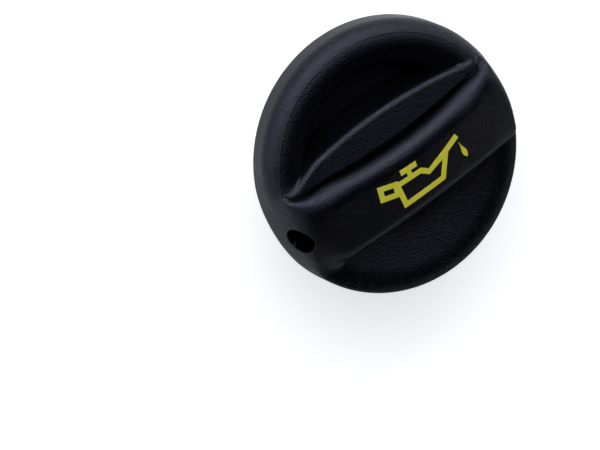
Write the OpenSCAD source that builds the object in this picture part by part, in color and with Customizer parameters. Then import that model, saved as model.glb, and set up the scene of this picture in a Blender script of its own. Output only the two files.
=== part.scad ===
// Oil filler cap of an engine: a round knob with one raised grip bar across it,
// a finger recess on one side of the bar, a low dished floor on the other,
// and below it a hollow neck with two bayonet lugs and a rubber seal ring.
// Millimetres. Z is the axis of the cap, the neck's open end stands at Z = 0,
// X runs along the grip bar and +Y points to the finger recess.

/* [Knob] */
// Widest diameter of the knob
knob_d = 62; // [58:1:68]
// Height of the tapered lower edge of the knob
edge_h = 3; // [2:0.5:4]
// How far the lower edge tapers in
edge_in = 1.7; // [1:0.1:2]
// Height of the rim crest beside the finger recess, above the deck
crest_h = 12; // [11:0.5:13]
// Radius of the rounded rim beside the finger recess
crest_r = 5; // [4:0.5:5.5]
// Height of the low rim on the other side of the bar, above the deck
low_rim_h = 10.1; // [9:0.1:11]
// Radius of the low rim's rounding
low_rim_r = 2.4; // [2:0.1:3]
// How far the dished floor dips below the low rim
dish_depth = 2.6; // [2:0.1:3]

/* [Finger recess] */
// Thickness of the recess floor
recess_floor = 2.8; // [2.2:0.1:3.4]
// Radius of the fillet round the recess floor
recess_fillet = 3; // [2:0.5:4]
// Draft of the wall between the recess and the thumb rest, in degrees
recess_draft = 6; // [3:1:10]

/* [Grip bar] */
// Height of the ridge along the bar, above the deck
ridge_h = 18.8; // [17:0.1:20]
// How far the steep side of the ridge lies from the middle of the cap
ridge_side = 5.1; // [4:0.1:6]
// Radius of the rounded ridge
ridge_r = 3.5; // [2.5:0.1:4]
// Slope of the bar's top face, in degrees
face_slope = 14.5; // [10:0.5:17]
// Radius of the long curve that the ridge follows
ridge_sweep_r = 97; // [85:1:130]
// How far that curve leans from upright, in degrees
ridge_lean = 54; // [40:1:60]
// How far the bar's outer wall stands from the middle, at its foot
wall_foot = 12.9; // [12:0.1:13.6]
// Draft of that outer wall, in degrees
wall_draft = 11; // [6:1:14]
// Radius of the bar's outer edge
wall_edge_r = 2.6; // [1.5:0.1:3]
// Radius of the crown along the bar
crown_r = 165; // [150:5:220]
// Radius of the bar's shoulders at its ends
shoulder_r = 6; // [5:0.5:7]
// Draft of the bar's ends, in degrees
end_draft = 9; // [6:1:12]

/* [Thumb rest] */
// Height of the inner edge of the lens-shaped rest, above the deck
rest_h = 15; // [14:0.1:15.5]
// Slope of the rest at its inner edge, in degrees
rest_slope = 10; // [7:1:13]
// Radius of the rest's faintly domed top
rest_dome_r = 175; // [140:5:220]
// How far the outer edge of the rest bulges from the middle
rest_out = 12.7; // [11.5:0.1:13.5]
// Plan radius of that outer edge
rest_r = 91; // [80:1:110]
// Plan radius of the rest's inner edge
rest_in_r = 230; // [180:10:300]
// Width of the slot between the rest and the ridge
slot_w = 0.9; // [0.6:0.1:1.4]
// Depth of that slot
slot_depth = 3.4; // [2:0.1:4.5]
// How far the slot leans in under the ridge, in degrees
slot_lean = 12; // [5:1:20]

/* [End hole] */
// Diameter of the hole that cores the bar from its end
hole_d = 7; // [5:0.5:7.5]
// Depth of the hole from the bar's end
hole_depth = 20; // [10:1:22]
// Height of the hole's axis above the deck
hole_h = 10.5; // [10:0.1:11]
// Distance of the hole's axis from the middle of the cap
hole_side = 3.2; // [2:0.1:4]
// Slope of the flattened end face round the hole, in degrees
end_slope = 22; // [18:1:24]
// Distance of that end face from the cap's axis, at the hole
end_dist = 28.4; // [27.5:0.1:29.5]

/* [Neck] */
// Length of the neck below the deck
neck_len = 14; // [12:0.5:18]
// Outer diameter of the neck
neck_d = 36; // [34:0.5:38]
// Wall of the neck
neck_wall = 2.5; // [2:0.1:3]
// Chamfer at the neck's open end
neck_chamfer = 0.8; // [0.4:0.1:1.2]
// How far the bayonet lugs stand out
lug_out = 3.2; // [2.5:0.1:3.6]
// Thickness of a lug along the neck
lug_h = 3.2; // [2.5:0.1:3.5]
// Distance of the lugs from the neck's open end
lug_up = 1.5; // [1:0.1:2.5]
// Width of a lug round the neck, in degrees
lug_angle = 52; // [40:1:65]
// Height of the stop at the end of a lug
lug_stop_h = 1.8; // [1:0.1:2]
// Width of that stop round the neck, in degrees
lug_stop_angle = 7; // [5:1:12]

/* [Seal ring] */
// Height of the seal ring
seal_h = 3.4; // [3:0.1:4]
// Width of the seal ring
seal_w = 4; // [3.5:0.1:4.4]
// Depth of the groove that holds the ring
groove_depth = 0.6; // [0.4:0.1:1]
// Clearance below the ring in its groove
groove_clear = 0.15; // [0.1:0.05:0.4]

/* [Underside] */
// Width of the flat seat round the neck
seat_w = 5.2; // [4.8:0.1:5.6]
// Width of the channel round the seat
channel_w = 3.6; // [3:0.1:4]
// Depth of the channel
channel_depth = 3.6; // [2.5:0.1:4]
// Number of ribs across the channel
rib_count = 12; // [8:1:18]
// Thickness of a rib
rib_t = 1.6; // [1.2:0.1:2]
// Number of core pockets below the bar
core_count = 3; // [2:1:4]
// Depth of those core pockets
core_depth = 3.5; // [2:0.1:4]
// Length of the cored stretch
core_len = 23; // [18:1:24]
// Width of the core pockets
core_w = 9; // [7:0.5:10]

/* [Hidden] */
$fn = 96;

// Facets of the long arcs, size of a cutter, and overlaps past a face
fine = 360;
far = 200;
lap = 0.05;
over = 1;
knob_r = knob_d / 2;
deck = neck_len;
belt = deck + edge_h;
neck_r = neck_d / 2;
neck_bore_r = neck_r - neck_wall;

// Rim beside the recess: centre of its rounding
crest_c = [knob_r - crest_r, deck + crest_h - crest_r];
recess_z = deck + recess_floor;

// Low side: a dish whose arc runs out tangent into the rounded rim
low_c = [knob_r - low_rim_r, deck + low_rim_h - low_rim_r];
dish_flat_r = wall_foot;
dish_run = low_c.x - dish_flat_r;
dish_z = deck + low_rim_h - dish_depth;
dish_drop = low_c.y - dish_z;
dish_span = pow(dish_run, 2) + pow(dish_drop, 2) - pow(low_rim_r, 2);
dish_r = dish_span / (2 * (low_rim_r - dish_drop));
dish_touch = low_c + low_rim_r * [-dish_run, dish_z + dish_r - low_c.y] / (dish_r + low_rim_r);

// Bar: ridge rounding in the middle section, and the plane of its face
ridge_top = deck + ridge_h;
ridge_c = [ridge_side - ridge_r, ridge_top - ridge_r];
face_touch = ridge_c + ridge_r * [-sin(face_slope), cos(face_slope)];
bar_low = deck + lap;
bar_reach = knob_r;
function face_z(y) = face_touch.y - (face_touch.x - y) * tan(face_slope);

// Outer wall of the bar: its upper edge rounding
wall_top_z = face_z(-wall_foot) + lap;
function wall_y(z) = -wall_foot + (z - dish_z) * tan(wall_draft);
corner_half = (90 - wall_draft - face_slope) / 2;
wall_corner_z = wall_top_z + (wall_y(wall_top_z) + wall_foot) * tan(face_slope);
wall_corner = [wall_y(wall_corner_z), wall_corner_z];
edge_reach = wall_edge_r * tan(corner_half);
edge_wall = wall_corner - edge_reach * [sin(wall_draft), cos(wall_draft)];
edge_face = wall_corner + edge_reach * [cos(face_slope), sin(face_slope)];
edge_c = edge_wall + wall_edge_r * [cos(wall_draft), -sin(wall_draft)];

// Envelope of the bar: a crown, round shoulders and drafted ends
crown_rise = 0.3;
end_inset = 1.3;
crown_top = ridge_top + crown_rise;
crown_z = crown_top - crown_r;
shoulder_z = crown_z + sqrt(pow(crown_r - shoulder_r, 2) - pow(knob_r - shoulder_r - end_inset, 2));
shoulder_x = knob_r - (shoulder_z - belt) * tan(end_draft) - shoulder_r / cos(end_draft);
shoulder_c = [shoulder_x, shoulder_z];

// Thumb rest and slot
rest_edge_y = ridge_side + slot_w;
rest_z = deck + rest_h;
rest_wall_y = rest_out - rest_r;

// End hole and the flattened face round it
hole_z = deck + hole_h;

// Seal groove
groove_r = neck_r - groove_depth;
seal_round = seal_h / 2;
seal_out = groove_r + seal_w;

// Channel round the seat
channel_in = neck_r + seat_w;

// A solid of revolution about the cap's axis
module turned() {
  rotate_extrude() children();
}

// Profile of the high side: tapered edge, belt and rounded rim
module high_profile() {
  polygon([[0, deck], [knob_r - edge_in, deck], [knob_r, belt], [knob_r, crest_c.y],
           [crest_c.x, crest_c.y], [crest_c.x, crest_c.y + crest_r], [0, crest_c.y + crest_r]]);
  translate(crest_c) circle(r = crest_r);
}

// Profile of the low side: the dished floor running into the low rim
module low_profile() {
  difference() {
    polygon([[0, deck], [knob_r - edge_in, deck], [knob_r, belt], [knob_r, low_c.y],
             low_c, dish_touch, [dish_touch.x, dish_touch.y + lap], [0, dish_touch.y + lap]]);
    translate([dish_flat_r, dish_z + dish_r]) circle(r = dish_r, $fn = fine);
    translate([-over, dish_z]) square([dish_flat_r + over, far]);
  }
  translate(low_c) circle(r = low_rim_r);
}

// Hollow of the finger recess: straight wall, floor fillet and the rim's inner rounding
module recess_profile() {
  wall_r = crest_c.x - crest_r;
  difference() {
    polygon([[0, recess_z], [crest_c.x, recess_z], [crest_c.x, far], [0, far]]);
    difference() {
      translate([wall_r - recess_fillet, recess_z - over]) square([far, recess_fillet + over]);
      translate([wall_r - recess_fillet, recess_z + recess_fillet]) circle(r = recess_fillet);
      translate([wall_r - far - recess_fillet, recess_z]) square([far, far]);
    }
    translate([wall_r, recess_z + recess_fillet - lap])
      square([far, crest_c.y - recess_z - recess_fillet + lap]);
    translate(crest_c) circle(r = crest_r);
  }
}

// Middle section of the ridge side, drawn with Y to the right and Z up
module ridge_section() {
  polygon([[ridge_side, bar_low], [ridge_side, ridge_c.y], ridge_c, face_touch,
           [-bar_reach, face_z(-bar_reach)], [-bar_reach, bar_low]]);
  translate(ridge_c) circle(r = ridge_r);
}

// Middle section of the outer wall with its rounded upper edge
module wall_section() {
  reach_z = edge_face.y + (bar_reach - edge_face.x) * tan(face_slope);
  polygon([[wall_y(bar_low), bar_low], edge_wall, edge_c, edge_face,
           [bar_reach, reach_z], [bar_reach, bar_low]]);
  translate(edge_c) circle(r = wall_edge_r);
}

// Carries a section of the YZ plane along an arc through the point anchor.
// The arc's plane leans from upright towards +Y, and its centre lies below.
module swept(anchor, radius, lean) {
  span = 2 * asin((knob_r + ridge_r) / radius);
  translate([0, anchor.x + radius * sin(lean), anchor.y - radius * cos(lean)])
    rotate([lean - 90, 0, 0])
      rotate([0, 0, 270 - span / 2])
        rotate_extrude(angle = span, $fn = fine)
          translate([radius, 0])
            rotate(lean - 90)
              mirror([1, 0])
                translate(-anchor)
                  children();
}

// Section of the envelope that shapes the bar's ends
module envelope_profile() {
  wall_touch = shoulder_c + shoulder_r * [cos(end_draft), sin(end_draft)];
  crown_c = [0, crown_z];
  crown_touch = crown_c + crown_r * (shoulder_c - crown_c) / (crown_r - shoulder_r);
  polygon([[0, bar_low], [knob_r - edge_in, bar_low], [knob_r, belt], wall_touch, shoulder_c,
           crown_touch, [0, crown_touch.y]]);
  translate(shoulder_c) circle(r = shoulder_r);
  intersection() {
    translate(crown_c) circle(r = crown_r, $fn = fine);
    translate([0, crown_touch.y - lap]) square([crown_touch.x, far]);
  }
}

// Thumb rest: everything behind its bulging outer wall, under a faintly domed top
module rest_block() {
  dome_y = rest_edge_y - rest_dome_r * sin(rest_slope);
  dome_z = rest_z - rest_dome_r * cos(rest_slope);
  intersection() {
    translate([0, rest_wall_y, bar_low])
      cylinder(h = rest_h, r1 = rest_r + rest_h * tan(recess_draft), r2 = rest_r, $fn = fine);
    translate([0, dome_y, dome_z]) sphere(r = rest_dome_r, $fn = fine);
    translate([-far / 2, 0, 0]) cube([far, far, far]);
  }
}

// Cone that has the given radius at Z = 0, reaches below it and clears the ridge
module leaning_cone(radius, below) {
  above = ridge_h - rest_h + over;
  translate([0, 0, -below])
    cylinder(h = below + above, r1 = radius + below * tan(slot_lean),
             r2 = radius - above * tan(slot_lean), $fn = fine);
}

// Narrow slot along the foot of the ridge, a crescent in plan that leans in below
module slot_cut() {
  near_r = ridge_sweep_r / sin(ridge_lean);
  difference() {
    translate([0, ridge_side + near_r, rest_z]) leaning_cone(near_r, slot_depth);
    translate([0, rest_edge_y + rest_in_r, rest_z]) leaning_cone(rest_in_r, slot_depth + over);
  }
}

// The grip bar with the thumb rest beside it, trimmed at its ends
module grip_bar() {
  intersection() {
    turned() envelope_profile();
    union() {
      intersection() {
        swept([ridge_side, ridge_c.y], ridge_sweep_r, ridge_lean) ridge_section();
        swept([edge_c.x, edge_c.y], crown_r, 0) wall_section();
      }
      rest_block();
    }
  }
}

// High rim on the recess side, low dished floor on the other
module knob_shell() {
  split_y = -wall_foot / 2;
  intersection() {
    turned() high_profile();
    translate([-far / 2, split_y, 0]) cube([far, far, far]);
  }
  intersection() {
    turned() low_profile();
    translate([-far / 2, split_y - far, 0]) cube([far, far + lap, far]);
  }
}

// Room of the finger recess, in front of the thumb rest's wall
module recess_room() {
  difference() {
    turned() recess_profile();
    translate([0, rest_wall_y, deck])
      cylinder(h = rest_h, r1 = rest_r + (rest_h + lap) * tan(recess_draft), r2 = rest_r, $fn = fine);
    translate([-far / 2, rest_wall_y, rest_z - lap]) cube([far, -rest_wall_y, far]);
    translate([-far / 2, -far, 0]) cube([far, far, far]);
  }
}

// Flattened and sloped end face round the hole
module end_cut() {
  translate([-end_dist, 0, hole_z])
    rotate([0, end_slope, 0])
      translate([-far, -far / 2, -far / 2])
        cube([far, far, far]);
}

// Blind hole that cores the bar
module hole_cut() {
  translate([-knob_r - over, -hole_side, hole_z])
    rotate([0, 90, 0])
      cylinder(h = knob_r - end_dist + hole_depth + over, d = hole_d);
}

// Hollow neck with its groove and a chamfer at the open end
module neck() {
  turned()
    difference() {
      translate([neck_bore_r, 0]) square([neck_wall, deck + lap]);
      translate([groove_r, deck - seal_h - groove_clear]) square([far, seal_h + groove_clear]);
      polygon([[neck_r - neck_chamfer, -over], [neck_r - neck_chamfer, 0], [neck_r, neck_chamfer],
               [neck_r + over, neck_chamfer], [neck_r + over, -over]]);
    }
}

// One bayonet lug with the stop at its end
module lug() {
  root_r = neck_r - neck_wall / 2;
  out_r = neck_r + lug_out;
  lug_top = lug_up + lug_h;
  bevel = lug_h / 4;
  rotate_extrude(angle = lug_angle)
    polygon([[root_r, lug_up], [out_r - bevel, lug_up], [out_r, lug_up + bevel],
             [out_r, lug_top], [root_r, lug_top]]);
  rotate_extrude(angle = lug_stop_angle)
    translate([root_r, lug_top - lap])
      square([out_r - root_r, lug_stop_h + lap]);
}

// Pockets between the ribs of the channel under the knob
module channel_pockets() {
  pitch = 360 / rib_count;
  rib_angle = 2 * asin(rib_t / 2 / channel_in);
  for (i = [0 : rib_count - 1])
    rotate([0, 0, i * pitch + rib_angle / 2])
      rotate_extrude(angle = pitch - rib_angle)
        translate([channel_in, deck - over])
          square([channel_w, channel_depth + over]);
}

// Core pockets below the bar, inside the neck, with ribs between them
module bar_cores() {
  length = (core_len - (core_count - 1) * rib_t) / core_count;
  for (i = [0 : core_count - 1])
    translate([-core_len / 2 + i * (length + rib_t), -hole_side - core_w / 2, deck - over])
      cube([length, core_w, core_depth + over]);
}

// Knob, bar, neck and lugs are one moulding
module cap_body() {
  color([0.045, 0.047, 0.055])
    union() {
      difference() {
        union() {
          difference() {
            knob_shell();
            recess_room();
          }
          grip_bar();
        }
        slot_cut();
        end_cut();
        hole_cut();
        channel_pockets();
        bar_cores();
      }
      neck();
      for (side = [0, 180])
        rotate([0, 0, side]) lug();
    }
}

// Rubber ring seated in the groove and against the deck
module seal_ring() {
  color([0.08, 0.08, 0.085])
    turned() {
      translate([groove_r, deck - seal_h]) square([seal_w - seal_round, seal_h]);
      translate([seal_out - seal_round, deck - seal_round]) circle(r = seal_round);
    }
}

cap_body();
seal_ring();
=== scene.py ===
"""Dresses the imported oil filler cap: the black moulding with its soft blends, the rubber ring and the
printed oil-can sign, on a plain white floor."""
import math

import bpy
import numpy as np
from mathutils import Matrix, Vector


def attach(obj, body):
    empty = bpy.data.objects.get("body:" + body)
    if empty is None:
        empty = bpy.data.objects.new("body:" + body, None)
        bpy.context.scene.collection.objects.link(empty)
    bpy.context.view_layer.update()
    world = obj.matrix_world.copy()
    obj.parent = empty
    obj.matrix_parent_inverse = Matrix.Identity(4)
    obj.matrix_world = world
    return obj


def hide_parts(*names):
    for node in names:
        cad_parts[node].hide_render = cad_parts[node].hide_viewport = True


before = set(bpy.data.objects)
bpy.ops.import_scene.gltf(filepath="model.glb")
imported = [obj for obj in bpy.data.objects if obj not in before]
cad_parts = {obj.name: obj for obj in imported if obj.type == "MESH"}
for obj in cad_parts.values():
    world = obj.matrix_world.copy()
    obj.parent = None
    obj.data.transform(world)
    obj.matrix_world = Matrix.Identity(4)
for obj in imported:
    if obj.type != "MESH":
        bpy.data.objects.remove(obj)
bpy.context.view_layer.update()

MM = 0.001

# Dimensions in millimetres: the knob
KNOB_R = 31.0
DECK_Z = 14.0
BELT_Z = 17.0
EDGE_IN = 1.7
CREST_R, CREST_Z = 26.0, 21.0
CREST_ROUND = 5.0
RECESS_Z = 16.8
RECESS_FILLET = 3.0
LOW_ROUND, LOW_ROLL, LOW_TURN = 1.2, 8.0, 66.0
DISH_R, DISH_Z = 12.9, 21.5
DISH_SLOPE, DISH_BEND = 0.235, 6.0
SIDES_MEET_Y, SIDES_BLEND = -9.5, 5
KNOB_COLUMNS = 480
AXIS_R = 0.4

# The grip bar
RIDGE_SIDE = 5.1
RIDGE_TOP = 32.8
RIDGE_ROUND = 3.5
RIDGE_SWELL, SWELL_X, SWELL_RUN = 0.5, 12, 14
RIDGE_SWEEP = 97.0
RIDGE_LEAN = math.radians(54)
FACE_SLOPE = math.tan(math.radians(14.5))
WALL_FOOT = -13.65
WALL_TURN = 0.018
WALL_DRAFT = math.tan(math.radians(11))
WALL_ROUND = 3.4
WALL_END_X = 28.6
WALL_END_ROUND, WALL_FAR_ROUND = 7.5, 2.5
WALL_Y, RIDGE_Y, EDGE_Y = 12, 6, 11.5
END_TUCK, NEAR_TUCK, END_FLARE = 0.9, 1.1, 1.5
EDGE_TUCK = 1.5
TUCK_X, TUCK_RUN = 17, 9
FLARE_X, FLARE_RUN = 25, 3
FOOT_Z = RECESS_Z - 0.6
FOOT_LIFT, FOOT_LIFT_R = 2.0, 20.6
CROWN = 165.0
CROWN_TOP, CROWN_BLEND = RIDGE_TOP + 0.3, 0.8
SHOULDER, FAR_SHOULDER = 6.5, 4.5
SHOULDER_IN = 1.3
END_DRAFT = math.radians(9)
END_LOW_Z = BELT_Z + 1.4

# The thumb rest and the slot beside it
REST_IN, REST_IN_R = 6.0, 230.0
REST_OUT, REST_OUT_R = 12.7, 91.0
REST_Z = 29.0
REST_DOME = 175.0
REST_SLOPE = math.radians(10)
REST_DRAFT = math.tan(math.radians(6))
REST_ROUND = 1.6
REST_TIP, TIP_RUN, TIP_SINK = 27.0, 2.4, 3.5
REST_LEAST, WALL_LEAST = 0.3, 0.4
SLOT_DEPTH = 3.4
SLOT_LEAN = 0.7
SLOT_END, SLOT_RUN = 25.5, 9
SLOT_LEAST_WIDTH, SLOT_LEAST_DEPTH = 0.12, 0.08

# The end hole and the face round it
HOLE_R, HOLE_DEPTH = 3.35, 20.0
HOLE_Y, HOLE_Z = -3.2, 24.5
END_X = -28.4
END_SLOPE = math.tan(math.radians(22))
END_ROUND = 4.0
END_OUT = 1.3

# The underside: neck, groove, ribbed channel, lugs, core pockets and rubber ring
NECK_R, NECK_BORE, NECK_CHAMFER = 18.0, 15.5, 0.8
GROOVE_R, GROOVE_Z = 17.4, 10.45
SEAT_R, CHANNEL_R, CHANNEL_H, CHANNEL_DRAFT = 23.2, 26.8, 3.6, 0.12
RIB_COUNT, RIB_ANGLE = 12, 1.9
LUG_R, LUG_LOW, LUG_HIGH, LUG_STOP = 21.2, 1.5, 4.7, 6.5
LUG_ROOT = NECK_R - 1.2
LUG_SPAN, STOP_SPAN = 52, 7
CORE_LENGTH, CORE_WIDTH, CORE_TOP, CORE_STEP = 6.6, 9.0, 17.5, 8.2
RING_OUT, RING_LOW, RING_ROUND = 21.4, 10.6, 1.7
RING_COLUMNS = 240

# Degrees between faces from which an edge is shown sharp, and rounds of smoothing at the bar's ends
SHARP, PRINT_SHARP = 38, 30
SMOOTHING = 400


# Surfaces
def ease(t):
    """Smooth step: three t squared less two t cubed, with t held between 0 and 1."""
    t = np.clip(t, 0, 1)
    return t * t * (3 - 2 * t)


def soft_min(a, b, width):
    """The lesser of two surfaces, with a parabolic blend where they differ by less than width."""
    h = np.clip(width - np.abs(a - b), 0, None)
    return np.minimum(a, b) - h * h / (4 * width)


def soft_max(a, b, width):
    """The greater of two surfaces, blended in the same way."""
    return -soft_min(-a, -b, width)


def rounded_path(corners, radii, arc_steps, line_steps, hold=0.45):
    """A polyline with each inner corner replaced by an arc.

    corners is a list of arrays (..., 2). At a corner with the turn angle q the arc starts r * tan(q / 2)
    before it and ends as far behind it; that length is held under hold of either side. Points of the arc
    come from the two tangent points and the corner as a rational quadratic curve with weight cos(q / 2).
    line_steps is the number of points on each straight side.
    """
    corners = np.stack(np.broadcast_arrays(*[np.asarray(c, float) for c in corners]), axis=-2)
    before, at, after = corners[..., :-2, :], corners[..., 1:-1, :], corners[..., 2:, :]
    back, ahead = before - at, after - at
    back_len = np.linalg.norm(back, axis=-1, keepdims=True)
    ahead_len = np.linalg.norm(ahead, axis=-1, keepdims=True)
    back, ahead = back / back_len, ahead / ahead_len
    turn = np.pi - np.arccos(np.clip((back * ahead).sum(-1, keepdims=True), -1, 1))
    radii = np.stack(np.broadcast_arrays(*[np.asarray(r, float) for r in radii]), axis=-1)[..., None]
    reach = radii * np.tan(turn / 2)
    reach = np.minimum(reach, np.reshape(hold, (-1, 1)) * np.minimum(back_len, ahead_len))
    start, end = at + back * reach, at + ahead * reach
    pieces = []
    last = corners[..., 0, :]
    line_steps = np.broadcast_to(line_steps, at.shape[-2] + 1)
    for k in range(at.shape[-2]):
        t = np.linspace(0, 1, line_steps[k], endpoint=False)[1 if pieces else 0:, None]
        pieces.append(last[..., None, :] * (1 - t) + start[..., k, None, :] * t)
        t = np.linspace(0, 1, arc_steps[k])[:, None]
        w = np.cos(turn[..., k, :] / 2)[..., None, :]
        a, b, c = (1 - t) ** 2, 2 * w * t * (1 - t), t ** 2
        arc = a * start[..., k, None, :] + b * at[..., k, None, :] + c * end[..., k, None, :]
        pieces.append(arc / (a + b + c))
        last = end[..., k, :]
    t = np.linspace(0, 1, line_steps[-1])[1:, None]
    pieces.append(last[..., None, :] * (1 - t) + corners[..., -1, None, :] * t)
    return np.concatenate(pieces, axis=-2)


def arc_points(centre, radius, start, end, steps):
    """Points centre + radius * (cos a, sin a) for a from start to end, in degrees."""
    a = np.radians(np.linspace(start, end, steps))
    return np.stack([centre[0] + radius * np.cos(a), centre[1] + radius * np.sin(a)], axis=-1)


def make_mesh(name, points, quads, triangles):
    """A mesh object at the origin from points in millimetres.

    Six times its volume is the sum of a . (b x c) over the triangles. Where that is below 0, the faces are
    turned over.
    """
    faces = np.concatenate([quads[:, :3], quads[:, [0, 2, 3]], triangles])
    corner = points[faces]
    volume = np.einsum("ij,ij->i", corner[:, 0], np.cross(corner[:, 1], corner[:, 2])).sum()
    if volume < 0:
        quads, triangles = quads[:, ::-1], triangles[:, ::-1]
    mesh = bpy.data.meshes.new(name)
    mesh.from_pydata(points * MM, [], quads.tolist() + triangles.tolist())
    mesh.validate()
    mesh.shade_smooth()
    piece = bpy.data.objects.new(name, mesh)
    bpy.context.scene.collection.objects.link(piece)
    return piece


def closed_surface(name, grid, ring=False):
    """A closed surface from a grid (rows, columns, 3) whose columns run round in a loop.

    The rows run round too on a ring; otherwise each end row closes on one point, the mean of the row.
    """
    rows, columns = grid.shape[:2]
    index = np.arange(rows * columns).reshape(rows, columns)
    here = index if ring else index[:-1]
    above = np.roll(index, -1, axis=0) if ring else index[1:]
    quads = np.stack([here, np.roll(here, -1, axis=1), np.roll(above, -1, axis=1), above], axis=-1)
    points = grid.reshape(-1, 3)
    triangles = np.empty((0, 3), int)
    if not ring:
        points = np.concatenate([points, grid[0].mean(0)[None], grid[-1].mean(0)[None]])
        low, high = rows * columns, rows * columns + 1
        first = np.stack([np.roll(index[0], -1), index[0], np.full(columns, low)], axis=-1)
        final = np.stack([index[-1], np.roll(index[-1], -1), np.full(columns, high)], axis=-1)
        triangles = np.concatenate([first, final])
    return make_mesh(name, points, quads.reshape(-1, 4), triangles)


def turned(profile, angle):
    """Points (r cos a, r sin a, z) of a profile (rows, r z) or (rows, columns, r z) at the angles a."""
    r, z = np.broadcast_arrays(profile[..., 0], profile[..., 1])
    if r.ndim == 1:
        r, z = r[:, None] + 0 * angle, z[:, None] + 0 * angle
    return np.stack([r * np.cos(angle), r * np.sin(angle), z], axis=-1)


def flatten_end(points, sink):
    """Moves what lies beyond the bar's end face onto it: x = END_X - END_OUT + (z - HOLE_Z) * END_SLOPE.

    The wide blend and the smoothing after it draw the face in, so it starts END_OUT further out. sink sets
    one surface's face behind the other's. The move fades in from 1 to 3 mm above the deck.
    """
    face = END_X - END_OUT + (points[..., 2] - HOLE_Z) * END_SLOPE + sink
    upper = ease((points[..., 2] - DECK_Z - 1) / 2)
    held = soft_max(points[..., 0], face, END_ROUND)
    points[..., 0] = points[..., 0] * (1 - upper) + held * upper
    return points


def knob_surface():
    """The knob, its underside and the neck as one turned surface.

    The low rim is an arc of LOW_ROUND that passes at LOW_TURN into a flatter one of LOW_ROLL. From there
    the dish falls with DISH_SLOPE, which fades evenly over the last DISH_BEND.

    The profile runs from the middle of the underside down the bore, up the neck, over the seat and the
    channel, out to the rim and in over the top. Its upper part goes from the low dished side to the high
    recess side as the angle passes under the ends of the bar, and ribs fill the channel by angle.
    """
    under = rounded_path(
        [(AXIS_R, DECK_Z), (NECK_BORE, DECK_Z), (NECK_BORE, 0), (NECK_R - NECK_CHAMFER, 0),
         (NECK_R, NECK_CHAMFER), (NECK_R, GROOVE_Z), (GROOVE_R, GROOVE_Z), (GROOVE_R, DECK_Z),
         (SEAT_R, DECK_Z), (SEAT_R + CHANNEL_DRAFT, DECK_Z + CHANNEL_H),
         (CHANNEL_R - CHANNEL_DRAFT, DECK_Z + CHANNEL_H), (CHANNEL_R, DECK_Z),
         (KNOB_R - EDGE_IN, DECK_Z), (KNOB_R, BELT_Z), (KNOB_R, BELT_Z + 3.6)],
        [0.5, 0.4, 0.15, 0.15, 0.15, 0.1, 0.15, 0.25, 0.4, 0.4, 0.25, 0.4, 1.2],
        [5, 5, 3, 3, 3, 3, 3, 3, 4, 4, 3, 5, 7], 2)
    wall_r = CREST_R - CREST_ROUND
    high = np.concatenate([
        arc_points((CREST_R, CREST_Z), CREST_ROUND, 0, 180, 48),
        rounded_path([(wall_r, CREST_Z - 0.2), (wall_r, RECESS_Z), (AXIS_R, RECESS_Z)],
                     [RECESS_FILLET], [12], 4)])
    edge = arc_points((KNOB_R - LOW_ROUND, 0), LOW_ROUND, 0, LOW_TURN, 12)
    turn = math.radians(LOW_TURN)
    roll_centre = edge[-1] - LOW_ROLL * np.array([math.cos(turn), math.sin(turn)])
    roll = arc_points(roll_centre, LOW_ROLL, LOW_TURN, 90 + math.degrees(math.atan(DISH_SLOPE)), 18)[1:]
    outward = np.linspace(roll[-1, 0], DISH_R, 20)[1:] - DISH_R
    bend = np.where(outward < DISH_BEND, outward ** 2 / (2 * DISH_BEND), outward - DISH_BEND / 2)
    dish = np.stack([DISH_R + outward, DISH_Z + DISH_SLOPE * bend], axis=-1)
    rim = np.concatenate([edge, roll])
    rim[:, 1] += DISH_Z + DISH_SLOPE * (roll[-1, 0] - DISH_R - DISH_BEND / 2) - roll[-1, 1]
    inner_r = np.linspace(DISH_R, AXIS_R, 20)[1:]
    low = np.concatenate([rim, dish, np.stack([inner_r, np.full_like(inner_r, DISH_Z)], axis=-1)])
    angle = np.radians(np.arange(KNOB_COLUMNS) * 360 / KNOB_COLUMNS)
    side = ease((KNOB_R * np.sin(angle) - SIDES_MEET_Y) / SIDES_BLEND)[None, :, None]
    upper = low[:, None, :] * (1 - side) + high[:, None, :] * side
    lower = np.repeat(under[:, None, :], len(angle), axis=1)
    off_rib = np.abs((np.degrees(angle) + 180 / RIB_COUNT) % (360 / RIB_COUNT) - 180 / RIB_COUNT)
    open_here = (off_rib > RIB_ANGLE).astype(float)
    raised = (lower[..., 1] > DECK_Z) & (lower[..., 0] > GROOVE_R + 1) & (lower[..., 0] < CHANNEL_R + 0.2)
    lift = np.where(raised, open_here[None, :] + 0.001, 1)
    lower[..., 1] = DECK_Z + (lower[..., 1] - DECK_Z) * lift
    points = turned(np.concatenate([lower, upper]), angle[None, :])
    return closed_surface("knob", flatten_end(points, 0.05))


def crown_drop(x, radius):
    """How far an arc of that radius has fallen at x: radius - sqrt(radius^2 - x^2)."""
    return radius - np.sqrt(radius ** 2 - x ** 2)


def face_line(x):
    """Height of the bar's sloping face at y = 0.

    The ridge's arc has fallen by d at x, which lowers it by d cos(lean) and moves it out by d sin(lean).
    """
    drop = crown_drop(x, RIDGE_SWEEP)
    tilt = math.atan(FACE_SLOPE)
    top_y = RIDGE_SIDE - RIDGE_ROUND - RIDGE_ROUND * math.sin(tilt)
    top_z = RIDGE_TOP - RIDGE_ROUND + RIDGE_ROUND * math.cos(tilt)
    return top_z - drop * math.cos(RIDGE_LEAN) - (top_y + drop * math.sin(RIDGE_LEAN)) * FACE_SLOPE


def rest_height(x, y):
    """Height of the thumb rest: a sphere whose top leans towards the recess, sunk past the lens tips."""
    centre_y = REST_IN - REST_DOME * math.sin(REST_SLOPE)
    centre_z = REST_Z - REST_DOME * math.cos(REST_SLOPE)
    dome = centre_z + np.sqrt(REST_DOME ** 2 - x ** 2 - (y - centre_y) ** 2)
    return dome - TIP_SINK * ease((np.abs(x) - REST_TIP + TIP_RUN / 2) / TIP_RUN)


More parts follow.
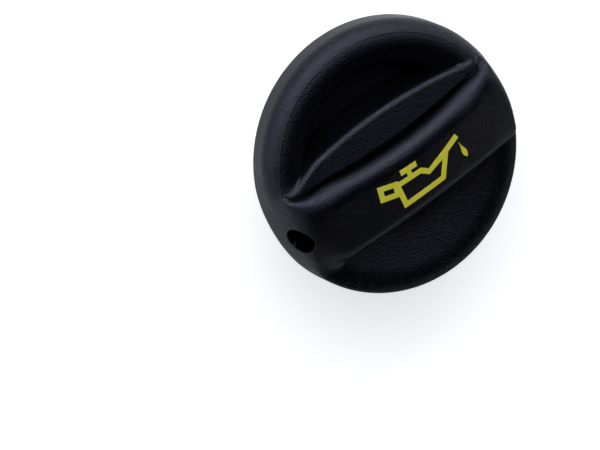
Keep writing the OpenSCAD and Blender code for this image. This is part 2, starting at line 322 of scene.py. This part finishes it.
def end_envelope(round_r):
    """Half the bar's lengthwise outline as radius and height: drafted end, shoulder arc and crown arc."""
    reach = KNOB_R - round_r - SHOULDER_IN
    shoulder_z = CROWN_TOP - CROWN + math.sqrt((CROWN - round_r) ** 2 - reach ** 2)
    shoulder_r = KNOB_R - (shoulder_z - BELT_Z) * math.tan(END_DRAFT) - round_r / math.cos(END_DRAFT)
    wall_z = np.linspace(END_LOW_Z, shoulder_z + round_r * math.sin(END_DRAFT), 14)
    wall = np.stack([KNOB_R - (wall_z - BELT_Z) * math.tan(END_DRAFT), wall_z], axis=-1)
    lean = math.degrees(math.atan2(shoulder_z - CROWN_TOP + CROWN, shoulder_r))
    shoulder = arc_points((shoulder_r, shoulder_z), round_r, math.degrees(END_DRAFT), lean, 30)[1:]
    crown_r = shoulder[-1, 0] * np.linspace(1, 0, 50)[1:]
    crown = np.stack([crown_r, CROWN_TOP - crown_drop(crown_r, CROWN)], axis=-1)
    return np.concatenate([wall, shoulder, crown])


def bar_surface():
    """The grip bar and the thumb rest: a section of the YZ plane carried along X.

    The section climbs the drafted outer wall, runs up the sloping face and over the ridge, drops into
    the slot, crosses the rest and falls down the rest's wall. Each corner follows its own curve in X,
    and the heights are held under the envelope, whose radius sets how far out each station lies.

    The outer wall stands out by -x * WALL_TURN, so by more at the near end. END_TUCK draws the ridge in at
    both ends. NEAR_TUCK draws ridge and slot in at the near end, and the rest's outer edge EDGE_TUCK times
    as far. Each corner's stations are those of its own y: WALL_Y, RIDGE_Y and EDGE_Y.
    """
    near, far = end_envelope(SHOULDER), end_envelope(FAR_SHOULDER)
    share = np.concatenate([-near[:, 0], far[-2::-1, 0]]) / KNOB_R
    limit = np.concatenate([near[:, 1], far[-2::-1, 1]])

    def station(y):
        return share * math.sqrt(KNOB_R ** 2 - y ** 2)

    x_wall, x_ridge, x_out = station(WALL_Y), station(RIDGE_Y), station(EDGE_Y)
    level = face_line(x_wall)
    wall_shift = crown_drop(x_wall, CROWN) - DISH_Z + x_wall * WALL_TURN / WALL_DRAFT
    corner_y = (WALL_FOOT + (level + wall_shift) * WALL_DRAFT) / (1 - FACE_SLOPE * WALL_DRAFT)
    corner_z = level + corner_y * FACE_SLOPE
    foot_y = WALL_FOOT + (FOOT_Z + wall_shift) * WALL_DRAFT

    round_here = np.where(x_wall < 0, WALL_END_ROUND, WALL_FAR_ROUND)
    corner_in = np.clip((np.abs(x_wall) - WALL_END_X + round_here) / round_here, 0, 1)
    corner_in = round_here * (1 - np.sqrt(1 - corner_in ** 2))
    corner_y, corner_z = corner_y + corner_in, corner_z + corner_in * FACE_SLOPE
    foot_y = foot_y + corner_in

    side_y = RIDGE_SIDE + crown_drop(x_ridge, RIDGE_SWEEP) * math.sin(RIDGE_LEAN)
    near_tuck = NEAR_TUCK * ease((-x_ridge - TUCK_X) / TUCK_RUN)
    side_y = side_y - END_TUCK * ease((np.abs(x_ridge) - TUCK_X) / TUCK_RUN) - near_tuck
    side_z = face_line(x_ridge) + side_y * FACE_SLOPE
    flare = END_FLARE * ease((np.abs(x_ridge) - FLARE_X) / FLARE_RUN)
    in_y = REST_IN + crown_drop(x_ridge, REST_IN_R) - near_tuck
    in_y = np.maximum(in_y, side_y + SLOT_LEAST_WIDTH + flare)
    in_z = rest_height(x_ridge, in_y)
    open_slot = ease((SLOT_END - np.abs(x_ridge)) / SLOT_RUN)
    slot_z = in_z - SLOT_LEAST_DEPTH - SLOT_DEPTH * open_slot
    near_y = side_y - SLOT_LEAN * open_slot + flare
    out_y = REST_OUT - REST_OUT_R + np.sqrt((REST_OUT_R + REST_DRAFT) ** 2 - x_out ** 2)
    out_y = np.maximum(out_y - EDGE_TUCK * near_tuck, in_y + REST_LEAST)
    out_z = rest_height(x_out, out_y)
    base_r = REST_OUT_R + (REST_Z - FOOT_Z) * REST_DRAFT
    base_y = np.maximum(REST_OUT - REST_OUT_R + np.sqrt(base_r ** 2 - x_out ** 2), out_y + WALL_LEAST)

    def corner(y, z):
        return np.stack(np.broadcast_arrays(y, z + 0 * share), axis=-1)

    ridge_round = RIDGE_ROUND * (1 + RIDGE_SWELL * ease((np.abs(x_ridge) - SWELL_X) / SWELL_RUN))
    section = rounded_path(
        [corner(foot_y, FOOT_Z), corner(corner_y, corner_z), corner(side_y, side_z), corner(near_y, slot_z),
         corner(np.minimum(in_y - 0.04, in_y - 0.2 * open_slot), slot_z), corner(in_y, in_z),
         corner(out_y, out_z), corner(base_y, FOOT_Z)],
        [WALL_ROUND, ridge_round, 0.2, 0.2, 0.35, REST_ROUND],
        [14, 26, 4, 4, 6, 9], [10, 26, 8, 4, 6, 16, 12], [0.45, 0.8, 0.1, 0.1, 0.3, 0.45])
    back = np.linspace(0, 1, 14)[1:-1, None]
    below = section[:, -1:, :] * (1 - back) + section[:, :1, :] * back
    section = np.concatenate([section, below], axis=1)
    y, z = section[..., 0], section[..., 1]
    x = share[:, None] * np.sqrt(KNOB_R ** 2 - y ** 2)
    across = (y - corner_y[:, None]) / (side_y - corner_y)[:, None]
    straight = level[:, None] * (1 - across) + face_line(x_ridge)[:, None] * across
    z = z + np.where((across > 0) & (across < 1) & (z > DISH_Z + 2), face_line(x) - straight, 0)
    z = soft_min(z, limit[:, None], CROWN_BLEND)
    z = np.maximum(z, FOOT_Z + FOOT_LIFT * ease(np.hypot(x, y) - FOOT_LIFT_R))
    return closed_surface("bar", flatten_end(np.stack([x, y, z], axis=-1), 0))


def arc_block(name, inner, outer, low, high, start, span):
    """A block of the angle span, its section a rectangle in radius and height with broken corners."""
    size = min(outer - inner, high - low)
    cut = 0.12 * size
    loop = np.array([(inner, low), (outer - cut, low), (outer, low + cut), (outer, high - cut),
                     (outer - cut, high), (inner, high)])
    angle = np.radians(start + np.linspace(0, span, 2 + span // 2))
    return closed_surface(name, turned(loop, angle[None, :]).transpose(1, 0, 2))


def box_block(name, low, high, draft):
    """A box that narrows upwards by draft on each side."""
    corners = np.array([(0, 0), (1, 0), (1, 1), (0, 1)], float)
    low, high = np.asarray(low, float), np.asarray(high, float)
    size = (high - low)[:2]
    lower = np.column_stack([low[:2] + corners * size, np.full(4, low[2])])
    upper = np.column_stack([low[:2] + draft + corners * (size - 2 * draft), np.full(4, high[2])])
    return closed_surface(name, np.stack([lower, upper]))


def hole_cutter():
    """A round pin along the end hole, with a shallow cone at its tip."""
    tip = END_X + HOLE_DEPTH
    along = np.array([-36, -30, tip - 0.3, tip, tip + 0.5])
    radius = np.array([HOLE_R, HOLE_R, HOLE_R, HOLE_R - 0.3, 0.3])
    angle = np.linspace(0, 2 * np.pi, 96, endpoint=False)[None, :]
    ring = np.stack([along[:, None] + 0 * angle, HOLE_Y + radius[:, None] * np.cos(angle),
                     HOLE_Z + radius[:, None] * np.sin(angle)], axis=-1)
    return closed_surface("hole_pin", ring)


def combine(base, steps):
    """Unites or cuts closed pieces, given as (piece, operation), and keeps the result in base."""
    for piece, operation in steps:
        modifier = base.modifiers.new(piece.name, "BOOLEAN")
        modifier.operation = operation
        modifier.solver = "MANIFOLD"
        modifier.object = piece
    shown = base.evaluated_get(bpy.context.evaluated_depsgraph_get())
    result = bpy.data.meshes.new_from_object(shown)
    base.modifiers.clear()
    base.data = result
    for piece, _ in steps:
        bpy.data.objects.remove(piece)
    result.shade_smooth()
    result.set_sharp_from_angle(angle=math.radians(SHARP))
    return base


def soften(piece, weight, steps):
    """Rounds the joints between united forms.

    weight gives each point 0 to 1. As often as steps says, each point moves by half its weight towards
    the mean of its neighbours, weighted by 1 / distance at the start, where 0.3 mm is the least distance.
    """
    mesh = piece.data
    points = np.empty(len(mesh.vertices) * 3)
    mesh.vertices.foreach_get("co", points)
    points = points.reshape(-1, 3) / MM
    ends = np.empty(len(mesh.edges) * 2, np.int32)
    mesh.edges.foreach_get("vertices", ends)
    ends = ends.reshape(-1, 2)
    here, there = np.concatenate([ends, ends[:, ::-1]]).T
    pull = 1 / np.maximum(np.linalg.norm(points[here] - points[there], axis=1), 0.3)
    total = np.bincount(here, pull, len(points))[:, None]
    share = 0.5 * weight(points)[:, None]
    for _ in range(steps):
        sums = [np.bincount(here, pull * points[there, k], len(points)) for k in range(3)]
        points += share * (np.stack(sums, axis=-1) / total - points)
    mesh.vertices.foreach_set("co", (points * MM).ravel())
    mesh.update()


def end_weight(points):
    """How much each point is smoothed: 1 on the bar's near end, 0.35 on its far end and 0 elsewhere.

    It fades in with x from 20.5 to 25 mm and with z from 19 to 21.5 mm. Beside the lens tips it drops to
    0.12 of itself between y 4 and 7 mm, and to none from 12 to 15 mm. At the outer wall it fades in between
    y -15.5 and -12.5 mm at the near end and between -13 and -8 mm at the far one.
    """
    x, y, z = points.T
    along = ease((np.abs(x) - 20.5) / 4.5)
    outer = np.where(x < 0, ease((y + 15.5) / 3), 0.35 * ease((y + 13) / 5))
    beside = outer * (1 - 0.88 * ease((y - 4) / 3)) * ease((15 - y) / 3)
    return along * beside * ease((z - 19) / 2.5)


# Materials
class Value:
    """A shader socket that adds its Math nodes when it is used in an expression."""

    def __init__(self, shader, socket):
        self.shader, self.socket = shader, socket

    def _math(self, operation, *terms):
        """The result of one Math node."""
        return self.shader.node("ShaderNodeMath", {"operation": operation}, terms)

    def __add__(self, other):
        return self._math("ADD", self, other)

    __radd__ = __add__

    def __mul__(self, other):
        return self._math("MULTIPLY", self, other)

    __rmul__ = __mul__

    def __sub__(self, other):
        return self._math("SUBTRACT", self, other)

    def __rsub__(self, other):
        return self._math("SUBTRACT", other, self)

    def __pow__(self, other):
        return self._math("POWER", self, other)

    def size(self):
        """The value without its sign."""
        return self._math("ABSOLUTE", self)

    def above(self, low, high):
        """0 below low, 1 above high and a smooth rise between them."""
        return self.shader.node("ShaderNodeMapRange", {"interpolation_type": "SMOOTHSTEP"},
                                {"Value": self, "From Min": low, "From Max": high})

    def near(self, place, width):
        """1 at place, falling smoothly to 0 at width on either side."""
        return 1 - (self - place).size().above(0, width)


class Shader:
    """A procedural material on Object coordinates in millimetres."""

    def __init__(self, name):
        self.material = bpy.data.materials.new(name)
        self.material.use_nodes = True
        self.tree = self.material.node_tree
        self.surface = self.tree.nodes["Principled BSDF"]
        metres = self.tree.nodes.new("ShaderNodeTexCoord").outputs["Object"]
        scaled = self.node("ShaderNodeVectorMath", {"operation": "SCALE"}, {0: metres, "Scale": 1 / MM})
        self.place = scaled.socket
        axes = self.tree.nodes.new("ShaderNodeSeparateXYZ")
        self.tree.links.new(self.place, axes.inputs[0])
        self.x, self.y, self.z = (Value(self, axes.outputs[k]) for k in range(3))

    def feed(self, target, value):
        """Links a value to the target socket, or sets the target's own value."""
        value = value.socket if isinstance(value, Value) else value
        if isinstance(value, bpy.types.NodeSocket):
            self.tree.links.new(value, target)
        else:
            target.default_value = value

    def node(self, kind, settings=None, inputs=()):
        """Adds a node, gives it its settings, then the values or links of its sockets."""
        node = self.tree.nodes.new(kind)
        for key, value in (settings or {}).items():
            setattr(node, key, value)
        pairs = inputs.items() if isinstance(inputs, dict) else enumerate(inputs)
        for key, value in pairs:
            self.feed(node.inputs[key], value)
        return Value(self, node.outputs[0])

    def noise(self, size, detail=2.0, stretch=(1, 1, 1)):
        """Noise from 0 to 1 whose features are about size millimetres across."""
        where = self.node("ShaderNodeVectorMath", {"operation": "MULTIPLY"}, {0: self.place, 1: stretch})
        return self.node("ShaderNodeTexNoise", {}, {"Vector": where, "Scale": 1 / size, "Detail": detail})

    def mix(self, share, first, second):
        """Colour first where share is 0 and second where it is 1."""
        mixer = self.tree.nodes.new("ShaderNodeMix")
        mixer.data_type = "RGBA"
        for key, value in ((0, share), (6, first), (7, second)):
            self.feed(mixer.inputs[key], value)
        return Value(self, mixer.outputs[2])

    def bump(self, height, strength, depth):
        """Bends the surface's normal by a height from 0 to 1 that stands for depth millimetres."""
        inputs = {"Strength": strength, "Distance": depth * MM, "Height": height}
        self.feed(self.surface.inputs["Normal"], self.node("ShaderNodeBump", {}, inputs))

    def finish(self, **sockets):
        """Sets the shader's own sockets, with _ for a space in their names."""
        for key, value in sockets.items():
            self.feed(self.surface.inputs[key.replace("_", " ")], value)
        return self.material


def black_moulding():
    """Fine-grained black plastic with cloudy gloss.

    It has a parting line along the crest, a faint line low on the bar's near end and scuffs on the dished
    side. The inside of the end hole is smooth.
    """
    s = Shader("black_moulding")
    radius = (s.x * s.x + s.y * s.y) ** 0.5
    grain = s.noise(0.42, 3)
    fleck = s.noise(0.3, 2).above(0.5, 0.72)
    cloud = s.noise(7, 3)
    scratch = s.noise(1.1, 4, (0.35, 1.3, 1)).above(0.68, 0.76)
    speck = s.noise(0.55, 2).above(0.71, 0.77)
    floor = (-1 * s.y).above(11.5, 14) * s.z.above(20.5, 21.2)
    worn = (speck * 0.5 + scratch * 0.12) * (floor * 0.8 + 0.12) * s.z.above(16, 17)
    parting = radius.near(28.4, 0.16) * s.z.above(22, 23) * s.y.above(8, 10)
    end_line = (s.y + 1.31 * s.z).near(28.75, 0.22) * (-1 * s.x).above(26.5, 27.5)
    end_line = end_line * (1 - s.z.above(22, 22.8))
    off_axis = ((s.y - HOLE_Y) ** 2 + (s.z - HOLE_Z) ** 2) ** 0.5
    bore = (1 - off_axis.above(HOLE_R + 0.03, HOLE_R + 0.12)) * (-1 * s.x).above(5, 6)
    tone = s.mix(cloud, (0.0004, 0.0005, 0.0010, 1), (0.0010, 0.0011, 0.0022, 1))
    tone = s.mix(worn + end_line * 0.35 + fleck * 0.06 * (1 - bore), tone, (0.060, 0.066, 0.086, 1))
    relief = grain * (s.z.above(15, 17) * 0.6 + 0.3) + parting * 0.35 + scratch * 0.1
    s.bump(relief * (1 - bore), 1.0, 0.21)
    rough = (cloud * 0.05 + grain * 0.08 + 0.14) * (1 - bore) + 0.05
    return s.finish(Base_Color=tone, Roughness=rough, Specular_IOR_Level=0.29,
                    Specular_Tint=(0.76, 0.77, 1.0, 1))


def black_rubber():
    """Dull rubber with a dusty bloom and a fine moulding line round the middle of the ring."""
    s = Shader("black_rubber")
    bloom = s.noise(2.5, 4)
    line = s.z.near(DECK_Z - RING_ROUND, 0.12)
    tone = s.mix(bloom, (0.012, 0.012, 0.013, 1), (0.026, 0.026, 0.027, 1))
    s.bump(s.noise(0.5, 3) * 0.5 + line * 0.5, 0.5, 0.08)
    return s.finish(Base_Color=tone, Roughness=bloom * 0.15 + 0.62)


def yellow_print():
    """Matt yellow ink, a little thin in places so that the black shows through as speckle."""
    s = Shader("yellow_print")
    thin = s.noise(0.35, 3).above(0.60, 0.80)
    cloud = s.noise(3, 2)
    tone = s.mix(cloud, (0.65, 0.62, 0.040, 1), (0.76, 0.72, 0.066, 1))
    tone = s.mix(thin * 0.4, tone, (0.32, 0.30, 0.02, 1))
    s.bump(s.noise(0.3, 2), 0.35, 0.03)
    return s.finish(Base_Color=tone, Roughness=cloud * 0.1 + 0.5, Specular_IOR_Level=0.2)


# The sign and the rubber ring
def ribbon(name, path, widths, closed, rise):
    """A flat stroke laid on the bar's face along a path of (x, y) points, with mitred corners.

    Each point is set off to both sides by half the width over the cosine of half the turn, which is held
    above 0.35. The stroke's section has sloping edges: sunk foot, top, top, sunk foot.
    """
    path = np.asarray(path, float)
    ahead = np.roll(path, -1, axis=0) - path
    behind = path - np.roll(path, 1, axis=0)
    if not closed:
        ahead[-1], behind[0] = behind[-1], ahead[0]
    ahead /= np.linalg.norm(ahead, axis=1, keepdims=True)
    behind /= np.linalg.norm(behind, axis=1, keepdims=True)
    bisector = ahead + behind
    bisector /= np.linalg.norm(bisector, axis=1, keepdims=True)
    half = 0.5 * np.asarray(widths, float) / np.clip((bisector * ahead).sum(1), 0.35, 1)
    across = np.column_stack([-bisector[:, 1], bisector[:, 0]]) * half[:, None]
    count = len(path) if closed else len(path) - 1
    step = np.linspace(0, 1, 13)[:-1, None]
    follow = (np.arange(count) + 1) % len(path)
    centre = np.concatenate([path[k] * (1 - step) + path[follow[k]] * step for k in range(count)])
    offset = np.concatenate([across[k] * (1 - step) + across[follow[k]] * step for k in range(count)])
    if not closed:
        centre, offset = np.vstack([centre, path[-1]]), np.vstack([offset, across[-1]])
    spread = np.array([-1.0, -0.95, 0, 0.95, 1.0, 0])
    height = np.array([-0.06, rise, rise, rise, -0.06, -0.06])
    plan = centre[:, None, :] + offset[:, None, :] * spread[None, :, None]
    z = face_line(plan[..., 0]) + plan[..., 1] * FACE_SLOPE + height
    return closed_surface(name, np.concatenate([plan, z[..., None]], axis=-1), ring=closed)


def drop_widths(steps):
    """Width of a falling drop for t from its point to its round end: 1.25 sin(pi t^1.9) + 0.05."""
    t = np.linspace(0.02, 0.985, steps)
    return 1.25 * np.sin(np.pi * t ** 1.9) + 0.05


def oil_can_sign():
    """Generic oil-can sign: handle, body, spout, filler stub and drop, printed on the bar's face.

    Each stroke stands a little higher than the one before, so that no two tops lie in one plane.
    """
    drop_steps = 16
    fall = np.linspace(0, 1, drop_steps)[:, None]
    strokes = [
        ("can_handle", [(-8.75, -1.05), (-5.0, -2.2), (-5.45, -4.75), (-9.1, -3.75)], 1.35, True),
        ("can_body", [(-4.75, -2.75), (1.65, -2.95), (3.4, -4.45), (5.75, -3.75), (8.75, -3.05),
                      (5.9, -8.1), (-4.55, -8.25)], 1.35, True),
        ("can_spout", [(5.2, -3.85), (8.6, -2.75), (12.75, -1.1)], 1.5, False),
        ("can_stub", [(-3.0, -0.5), (1.3, -0.65)], 1.4, False),
        ("can_stem", [(-1.0, -0.6), (-1.05, -2.7)], 1.25, False)]
    pieces = []
    for k, (name, path, width, closed) in enumerate(strokes):
        pieces.append(ribbon(name, path, np.full(len(path), width), closed, 0.045 + 0.004 * k))
    drop_path = np.array([12.6, -2.9]) * (1 - fall) + np.array([13.3, -7.4]) * fall
    pieces.append(ribbon("oil_drop", drop_path, drop_widths(drop_steps), False, 0.045))
    mark = pieces[0]
    with bpy.context.temp_override(active_object=mark, selected_editable_objects=pieces):
        bpy.ops.object.join()
    mark.name = "oil_can_sign"
    mark.data.name = "oil_can_sign"
    mark.data.set_sharp_from_angle(angle=math.radians(PRINT_SHARP))
    return mark


def ring_surface():
    """The rubber ring: flat against groove and deck, round outside, with a low moulding line."""
    a = np.radians(np.linspace(-90, 90, 41))
    line = 0.06 * np.exp(-(np.degrees(a) / 4) ** 2)
    bulge = np.stack([RING_OUT - RING_ROUND + (RING_ROUND + line) * np.cos(a),
                      DECK_Z - RING_ROUND + RING_ROUND * np.sin(a)], axis=-1)
    inside = rounded_path([(RING_OUT - RING_ROUND, DECK_Z), (GROOVE_R, DECK_Z), (GROOVE_R, RING_LOW),
                           (RING_OUT - RING_ROUND, RING_LOW)], [0.25, 0.25], [5, 5], 4)
    loop = np.concatenate([bulge, inside[1:-1]])
    angle = np.radians(np.arange(RING_COLUMNS) * 360 / RING_COLUMNS)
    return closed_surface("seal_ring_rubber", turned(loop, angle[None, :]), ring=True)


# The object
def add_piece(piece, material, node=None):
    """Gives a piece its material, lets it ride on the one body and hides the imported part that it stands
    for.
    """
    piece.data.materials.clear()
    piece.data.materials.append(material)
    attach(piece, "root")
    if node:
        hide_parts(node)


moulding = combine(knob_surface(), [(bar_surface(), "UNION")])
soften(moulding, end_weight, SMOOTHING)
# Each stop lies a hair inside its lug's faces, so that no two faces coincide
parts = []
for turn in (0, 180):
    lug = arc_block(f"lug_{turn}", LUG_ROOT, LUG_R, LUG_LOW, LUG_HIGH, turn, LUG_SPAN)
    stop = arc_block(f"stop_{turn}", LUG_ROOT, LUG_R - 0.02, LUG_HIGH - 0.6, LUG_STOP, turn + 0.2,
                     STOP_SPAN)
    parts += [(lug, "UNION"), (stop, "UNION")]
parts.append((hole_cutter(), "DIFFERENCE"))
for k in (-1, 0, 1):
    low = (k * CORE_STEP - CORE_LENGTH / 2, HOLE_Y - CORE_WIDTH / 2, DECK_Z - 2)
    high = (k * CORE_STEP + CORE_LENGTH / 2, HOLE_Y + CORE_WIDTH / 2, CORE_TOP)
    parts.append((box_block(f"core_{k + 1}", low, high, 0.1), "DIFFERENCE"))
moulding = combine(moulding, parts)
moulding.name = "cap_moulding"
add_piece(moulding, black_moulding(), "cap_body")
add_piece(ring_surface(), black_rubber(), "seal_ring")
add_piece(oil_can_sign(), yellow_print())


# Floor, light and camera, in metres
FLOOR_REACH = 3.0
FLOOR_GLOW = 0.52
FLOOR_TONE = 0.9
# Base of the floor for rays other than the camera's: painted shadow on the low side, pale towards the
# recess side
FLOOR_PAINTED_SHADOW_Y, FLOOR_PAINTED_SHADOW = -0.055, 0.22
FLOOR_PALE_Y, FLOOR_PALE = 0.0, 0.95
WORLD_LEVEL = 2.25
WORLD_NONE, WORLD_FULL = 1.20, -0.7
WORLD_TINT = (0.95, 0.97, 1.05, 1)
LAMP_TINT = (0.93, 0.95, 1.0)
LAMP_AIM = Vector((0, 0, 0.02))


def smooth_fade(tree, value, start, low, end, high):
    """Adds a smooth step from low where the value is start to high where it is end."""
    step = tree.nodes.new("ShaderNodeMapRange")
    step.interpolation_type = "SMOOTHSTEP"
    for key, number in (("From Min", start), ("From Max", end), ("To Min", low), ("To Max", high)):
        step.inputs[key].default_value = number
    tree.links.new(value, step.inputs["Value"])
    return step.outputs["Result"]


def white_floor():
    """A white floor that the camera sees as plain white, darkened only where the object shades it.

    To the camera its base is FLOOR_TONE and it glows by FLOOR_GLOW. Other rays meet no glow, and a base
    that rises with y from a painted shadow tone to FLOOR_PALE: painted shade on the low side that stands
    for the cap's shadow on the floor, so the cap's low side mirrors a darker floor.
    """
    mesh = bpy.data.meshes.new("floor")
    reach = FLOOR_REACH
    mesh.from_pydata([(-reach, -reach, 0), (reach, -reach, 0), (reach, reach, 0), (-reach, reach, 0)], [],
                     [(0, 1, 2, 3)])
    floor = bpy.data.objects.new("floor", mesh)
    bpy.context.scene.collection.objects.link(floor)
    material = bpy.data.materials.new("floor_white")
    material.use_nodes = True
    surface = material.node_tree.nodes["Principled BSDF"]
    surface.inputs["Roughness"].default_value = 0.9
    surface.inputs["Specular IOR Level"].default_value = 0.0
    surface.inputs["Emission Color"].default_value = (1, 1, 1, 1)
    nodes, links = material.node_tree.nodes, material.node_tree.links
    seen = nodes.new("ShaderNodeLightPath").outputs["Is Camera Ray"]
    glow = nodes.new("ShaderNodeMath")
    glow.operation = "MULTIPLY"
    glow.inputs[1].default_value = FLOOR_GLOW
    links.new(seen, glow.inputs[0])
    links.new(glow.outputs[0], surface.inputs["Emission Strength"])
    apart = nodes.new("ShaderNodeSeparateXYZ")
    links.new(nodes.new("ShaderNodeTexCoord").outputs["Object"], apart.inputs[0])
    # Painted shadow: the base darkens towards -y for every ray but the camera's
    shade = smooth_fade(material.node_tree, apart.outputs["Y"], FLOOR_PAINTED_SHADOW_Y, FLOOR_PAINTED_SHADOW,
                        FLOOR_PALE_Y, FLOOR_PALE)
    tone = nodes.new("ShaderNodeMix")
    tone.data_type = "FLOAT"
    links.new(seen, tone.inputs["Factor"])
    links.new(shade, tone.inputs["A"])
    tone.inputs["B"].default_value = FLOOR_TONE
    links.new(tone.outputs["Result"], surface.inputs["Base Color"])
    mesh.materials.append(material)


def soft_box(name, towards, distance, width, height, level):
    """An area lamp that looks at LAMP_AIM from a direction.

    level is the radiance of its face, so its power is level * width * height * pi.
    """
    lamp = bpy.data.lights.new(name, "AREA")
    lamp.shape = "RECTANGLE"
    lamp.size, lamp.size_y = width, height
    lamp.energy = level * width * height * math.pi
    lamp.color = LAMP_TINT
    box = bpy.data.objects.new(name, lamp)
    bpy.context.scene.collection.objects.link(box)
    aim = Vector(towards).normalized()
    turn = aim.to_track_quat("Z", "Y").to_matrix().to_4x4()
    box.matrix_world = Matrix.Translation(LAMP_AIM + aim * distance) @ turn


def soft_world():
    """Soft room light: bright from the recess side and from below, dark overhead and on the dished side.

    With s = z - y of the direction, the light fades from WORLD_LEVEL where s is WORLD_FULL to none where
    it is WORLD_NONE. The camera sees plain white instead.
    """
    world = bpy.data.worlds.new("studio")
    bpy.context.scene.world = world
    world.use_nodes = True
    nodes, links = world.node_tree.nodes, world.node_tree.links
    nodes.clear()
    direction = nodes.new("ShaderNodeTexCoord").outputs["Generated"]
    facing = nodes.new("ShaderNodeVectorMath")
    facing.operation = "DOT_PRODUCT"
    facing.inputs[1].default_value = (0, -1, 1)
    links.new(direction, facing.inputs[0])
    level = smooth_fade(world.node_tree, facing.outputs["Value"], WORLD_NONE, 0.0, WORLD_FULL, WORLD_LEVEL)
    dim, white = nodes.new("ShaderNodeBackground"), nodes.new("ShaderNodeBackground")
    links.new(level, dim.inputs["Strength"])
    dim.inputs["Color"].default_value = WORLD_TINT
    white.inputs["Color"].default_value = (1, 1, 1, 1)
    choose, out = nodes.new("ShaderNodeMixShader"), nodes.new("ShaderNodeOutputWorld")
    links.new(nodes.new("ShaderNodeLightPath").outputs["Is Camera Ray"], choose.inputs[0])
    links.new(dim.outputs[0], choose.inputs[1])
    links.new(white.outputs[0], choose.inputs[2])
    links.new(choose.outputs[0], out.inputs["Surface"])


white_floor()
soft_box("key", (0.10, 0.90, 0.50), distance=1.2, width=1.8, height=0.8, level=1.9)
soft_box("low_fill", (0.15, -1.0, 0.10), distance=1.1, width=1.6, height=0.24, level=1.3)
soft_world()

# The photo's view: right, up, towards the camera, and how far its middle lies from the cap's
VIEW_RIGHT = Vector((0.79047, -0.44924, 0.41634))
VIEW_UP = Vector((0.55918, 0.80670, -0.19120))
VIEW_BACK = Vector((-0.24997, 0.38395, 0.88888))
VIEW_DISTANCE = 1.5
VIEW_LEFT, VIEW_BELOW = 0.01784, 0.01628
CAP_MIDDLE = Vector((0, 0, 0.017))
PIXELS_PER_METRE = 4506
PICTURE_WIDTH = 600
camera_data = bpy.data.cameras.new("camera")
camera_data.sensor_width = 36
camera_data.lens = PIXELS_PER_METRE * VIEW_DISTANCE / PICTURE_WIDTH * camera_data.sensor_width
camera_data.clip_end = 20
camera = bpy.data.objects.new("camera", camera_data)
bpy.context.scene.collection.objects.link(camera)
middle = CAP_MIDDLE - VIEW_LEFT * VIEW_RIGHT - VIEW_BELOW * VIEW_UP
turn = Matrix((VIEW_RIGHT, VIEW_UP, VIEW_BACK)).transposed().to_4x4()
camera.matrix_world = Matrix.Translation(middle + VIEW_DISTANCE * VIEW_BACK) @ turn
bpy.context.scene.camera = camera
bpy.context.scene.view_settings.view_transform = "Standard"
